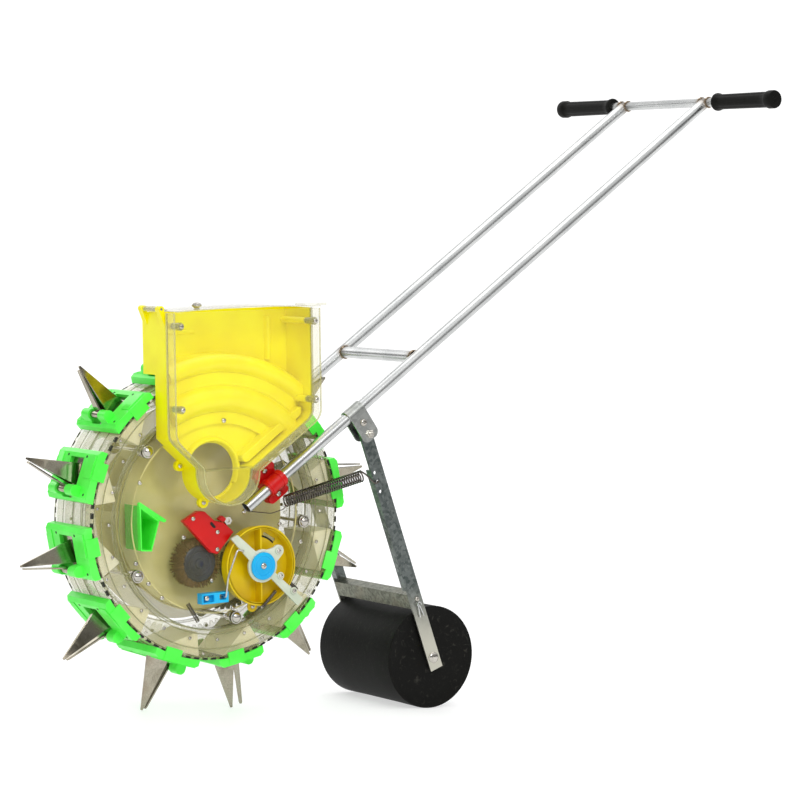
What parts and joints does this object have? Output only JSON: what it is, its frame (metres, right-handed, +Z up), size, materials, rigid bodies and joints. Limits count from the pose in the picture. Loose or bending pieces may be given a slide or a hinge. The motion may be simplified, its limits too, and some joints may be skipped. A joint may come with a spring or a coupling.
{
  "type": "push seeder",
  "caption": "Hand-pushed dibbling seeder: a beaked wheel round a fixed core with a side seed box, metering gear, long handle and a sprung press wheel behind.",
  "frame": {"origin": "on the ground under the middle of the bounding box", "axes": "+X to the rear, towards the handle and press wheel; +Y away from the seed box side; +Z up"},
  "size_m": [1.2908, 0.598, 1.0898],
  "materials": {
    "clear_plastic": "clear, moulded",
    "khaki_plastic": "translucent, moulded",
    "khaki_tub": "moulded",
    "yellow_plastic": "moulded",
    "green_plastic": "moulded",
    "red_plastic": "moulded",
    "white_plastic": "translucent, moulded",
    "blue_plastic": "moulded",
    "cream_plastic": "moulded",
    "dark_plastic": "moulded",
    "bristles": "bristle",
    "steel": "folded sheet",
    "zinc": "zinc plated",
    "dark_zinc": "galvanised",
    "black_rubber": "moulded",
    "spring_steel": "wound wire"
  },
  "bodies": {
    "core": {"near_plate": "khaki_plastic", "far_plate": "khaki_plastic", "seed_tub": "khaki_tub", "tie_posts": "zinc", "guide_studs": "zinc", "far_housing": "khaki_tub", "seed_box": "yellow_plastic", "box_cover": "clear_plastic", "cover_screws": "zinc", "lid_pin": "zinc", "seed_chute": "green_plastic", "brush_shield": "red_plastic", "metering_housing": "yellow_plastic", "plate_screws": "zinc", "small_springs": "spring_steel", "tube_clamps": "red_plastic", "clamp_bolts": "zinc", "near_tube": "zinc", "far_tube": "zinc", "cross_bars": "zinc", "near_grip": "black_rubber", "far_grip": "black_rubber", "tube_straps": "zinc", "strap_bolts": "zinc", "arm_springs": "spring_steel"},
    "lid": {"box_lid": "clear_plastic"},
    "lever": {"rate_lever": "white_plastic", "lever_cap": "blue_plastic"},
    "latch": {"latch": "blue_plastic"},
    "link": {"link_wire": "zinc"},
    "drum": {"ring_near": "clear_plastic", "ring_far": "clear_plastic", "seed_cups": "cream_plastic", "beak_seats": "green_plastic", "fixed_beaks": "steel"},
    "press_frame": {"near_arm": "dark_zinc", "far_arm": "dark_zinc", "scraper_bar": "dark_zinc", "split_pins": "zinc", "press_axle": "zinc"},
    "press_wheel": {"press_roller": "black_rubber"},
    "metering": {"metering_wheel": "dark_plastic"},
    "brush_wheel": {"brush": "bristles"},
    "guide_1": {"guide_roller_1": "zinc"},
    "guide_2": {"guide_roller_2": "zinc"},
    "guide_3": {"guide_roller_3": "zinc"},
    "guide_4": {"guide_roller_4": "zinc"},
    "guide_5": {"guide_roller_5": "zinc"},
    "jaw_body_01": {"jaw_01": "steel"},
    "jaw_body_02": {"jaw_02": "steel"},
    "jaw_body_03": {"jaw_03": "steel"},
    "jaw_body_04": {"jaw_04": "steel"},
    "jaw_body_05": {"jaw_05": "steel"},
    "jaw_body_06": {"jaw_06": "steel"},
    "jaw_body_07": {"jaw_07": "steel"},
    "jaw_body_08": {"jaw_08": "steel"},
    "jaw_body_09": {"jaw_09": "steel"},
    "jaw_body_10": {"jaw_10": "steel"},
    "jaw_body_11": {"jaw_11": "steel"},
    "jaw_body_12": {"jaw_12": "steel"}
  },
  "joints": [
    {"name": "drum_spin", "type": "hinge", "parent": "core", "child": "drum", "pos_m": [-0.32725, 0, 0.31818], "axis": [0, -1, 0], "continuous": true},
    {"name": "lid_hinge", "type": "hinge", "parent": "core", "child": "lid", "pos_m": [-0.47395, 0, 0.64785], "axis": [0, -1, 0], "range_deg": [0, 110]},
    {"name": "press_frame_pivot", "type": "hinge", "parent": "core", "child": "press_frame", "pos_m": [-0.06288, 0, 0.46266], "axis": [0, -1, 0], "range_deg": [-8, 20], "stiffness_Nm_per_rad": 150, "springref_deg": -1.72, "deforming": ["arm_springs"]},
    {"name": "press_roller_spin", "type": "hinge", "parent": "press_frame", "child": "press_wheel", "pos_m": [0.10117, 0, 0.087], "axis": [0, -1, 0], "continuous": true},
    {"name": "metering_spin", "type": "hinge", "parent": "core", "child": "metering", "pos_m": [-0.24946, 0, 0.24254], "axis": [0, -1, 0], "continuous": true},
    {"name": "brush_spin", "type": "hinge", "parent": "core", "child": "brush_wheel", "pos_m": [-0.34921, 0, 0.24288], "axis": [0, -1, 0], "continuous": true},
    {"name": "lever_turn", "type": "hinge", "parent": "core", "child": "lever", "pos_m": [-0.24946, 0, 0.24254], "axis": [0, -1, 0], "range_deg": [-6, 6]},
    {"name": "link_turn", "type": "hinge", "parent": "lever", "child": "link", "pos_m": [-0.28863, 0, 0.26628], "axis": [0, -1, 0], "range_deg": [-6, 6]},
    {"name": "latch_turn", "type": "hinge", "parent": "core", "child": "latch", "pos_m": [-0.34629, 0, 0.18908], "axis": [0, -1, 0], "range_deg": [-7.2, 7.2]},
    {"name": "guide_spin_1", "type": "hinge", "parent": "core", "child": "guide_1", "pos_m": [-0.27056, 0, 0.47739], "axis": [0, -1, 0], "continuous": true},
    {"name": "guide_spin_2", "type": "hinge", "parent": "core", "child": "guide_2", "pos_m": [-0.46115, 0, 0.42129], "axis": [0, -1, 0], "continuous": true},
    {"name": "guide_spin_3", "type": "hinge", "parent": "core", "child": "guide_3", "pos_m": [-0.46669, 0, 0.2227], "axis": [0, -1, 0], "continuous": true},
    {"name": "guide_spin_4", "type": "hinge", "parent": "core", "child": "guide_4", "pos_m": [-0.27953, 0, 0.15605], "axis": [0, -1, 0], "continuous": true},
    {"name": "guide_spin_5", "type": "hinge", "parent": "core", "child": "guide_5", "pos_m": [-0.15832, 0, 0.31346], "axis": [0, -1, 0], "continuous": true},
    {"name": "jaw_01_hinge", "type": "hinge", "parent": "drum", "child": "jaw_body_01", "pos_m": [-0.09372, 0, 0.4087], "axis": [0, -1, 0], "range_deg": [0, 18], "stiffness_Nm_per_rad": 0.5, "springref_deg": -6.88},
    {"name": "jaw_02_hinge", "type": "hinge", "parent": "drum", "child": "jaw_body_02", "pos_m": [-0.17027, 0, 0.51334], "axis": [0, -1, 0], "range_deg": [0, 18], "stiffness_Nm_per_rad": 0.5, "springref_deg": -6.88},
    {"name": "jaw_03_hinge", "type": "hinge", "parent": "drum", "child": "jaw_body_03", "pos_m": [-0.28888, 0, 0.56568], "axis": [0, -1, 0], "range_deg": [0, 18], "stiffness_Nm_per_rad": 0.5, "springref_deg": -6.88},
    {"name": "jaw_04_hinge", "type": "hinge", "parent": "drum", "child": "jaw_body_04", "pos_m": [-0.41778, 0, 0.55171], "axis": [0, -1, 0], "range_deg": [0, 18], "stiffness_Nm_per_rad": 0.5, "springref_deg": -6.88},
    {"name": "jaw_05_hinge", "type": "hinge", "parent": "drum", "child": "jaw_body_05", "pos_m": [-0.52241, 0, 0.47516], "axis": [0, -1, 0], "range_deg": [0, 18], "stiffness_Nm_per_rad": 0.5, "springref_deg": -6.88},
    {"name": "jaw_06_hinge", "type": "hinge", "parent": "drum", "child": "jaw_body_06", "pos_m": [-0.57475, 0, 0.35654], "axis": [0, -1, 0], "range_deg": [0, 18], "stiffness_Nm_per_rad": 0.5, "springref_deg": -6.88},
    {"name": "jaw_07_hinge", "type": "hinge", "parent": "drum", "child": "jaw_body_07", "pos_m": [-0.56078, 0, 0.22765], "axis": [0, -1, 0], "range_deg": [0, 18], "stiffness_Nm_per_rad": 0.5, "springref_deg": -6.88},
    {"name": "jaw_08_hinge", "type": "hinge", "parent": "drum", "child": "jaw_body_08", "pos_m": [-0.48423, 0, 0.12302], "axis": [0, -1, 0], "range_deg": [0, 18], "stiffness_Nm_per_rad": 0.5, "springref_deg": -6.88},
    {"name": "jaw_09_hinge", "type": "hinge", "parent": "drum", "child": "jaw_body_09", "pos_m": [-0.36562, 0, 0.07067], "axis": [0, -1, 0], "range_deg": [0, 18], "stiffness_Nm_per_rad": 0.5, "springref_deg": -6.88},
    {"name": "jaw_10_hinge", "type": "hinge", "parent": "drum", "child": "jaw_body_10", "pos_m": [-0.23672, 0, 0.08465], "axis": [0, -1, 0], "range_deg": [-10, 8], "stiffness_Nm_per_rad": 0.5},
    {"name": "jaw_11_hinge", "type": "hinge", "parent": "drum", "child": "jaw_body_11", "pos_m": [-0.13209, 0, 0.1612], "axis": [0, -1, 0], "range_deg": [0, 18], "stiffness_Nm_per_rad": 0.5, "springref_deg": -6.88},
    {"name": "jaw_12_hinge", "type": "hinge", "parent": "drum", "child": "jaw_body_12", "pos_m": [-0.07974, 0, 0.27981], "axis": [0, -1, 0], "range_deg": [0, 18], "stiffness_Nm_per_rad": 0.5, "springref_deg": -6.88}
  ],
  "couplings": [
    {"joint": "metering_spin", "follows": "drum_spin", "ratio": 2.3478},
    {"joint": "brush_spin", "follows": "drum_spin", "ratio": -2.2669},
    {"joint": "link_turn", "follows": "lever_turn", "ratio": -1},
    {"joint": "latch_turn", "follows": "lever_turn", "ratio": -1.2},
    {"joint": "guide_spin_1", "follows": "drum_spin", "ratio": 16.981},
    {"joint": "guide_spin_2", "follows": "drum_spin", "ratio": 16.981},
    {"joint": "guide_spin_3", "follows": "drum_spin", "ratio": 16.981},
    {"joint": "guide_spin_4", "follows": "drum_spin", "ratio": 16.981},
    {"joint": "guide_spin_5", "follows": "drum_spin", "ratio": 16.981}
  ]
}
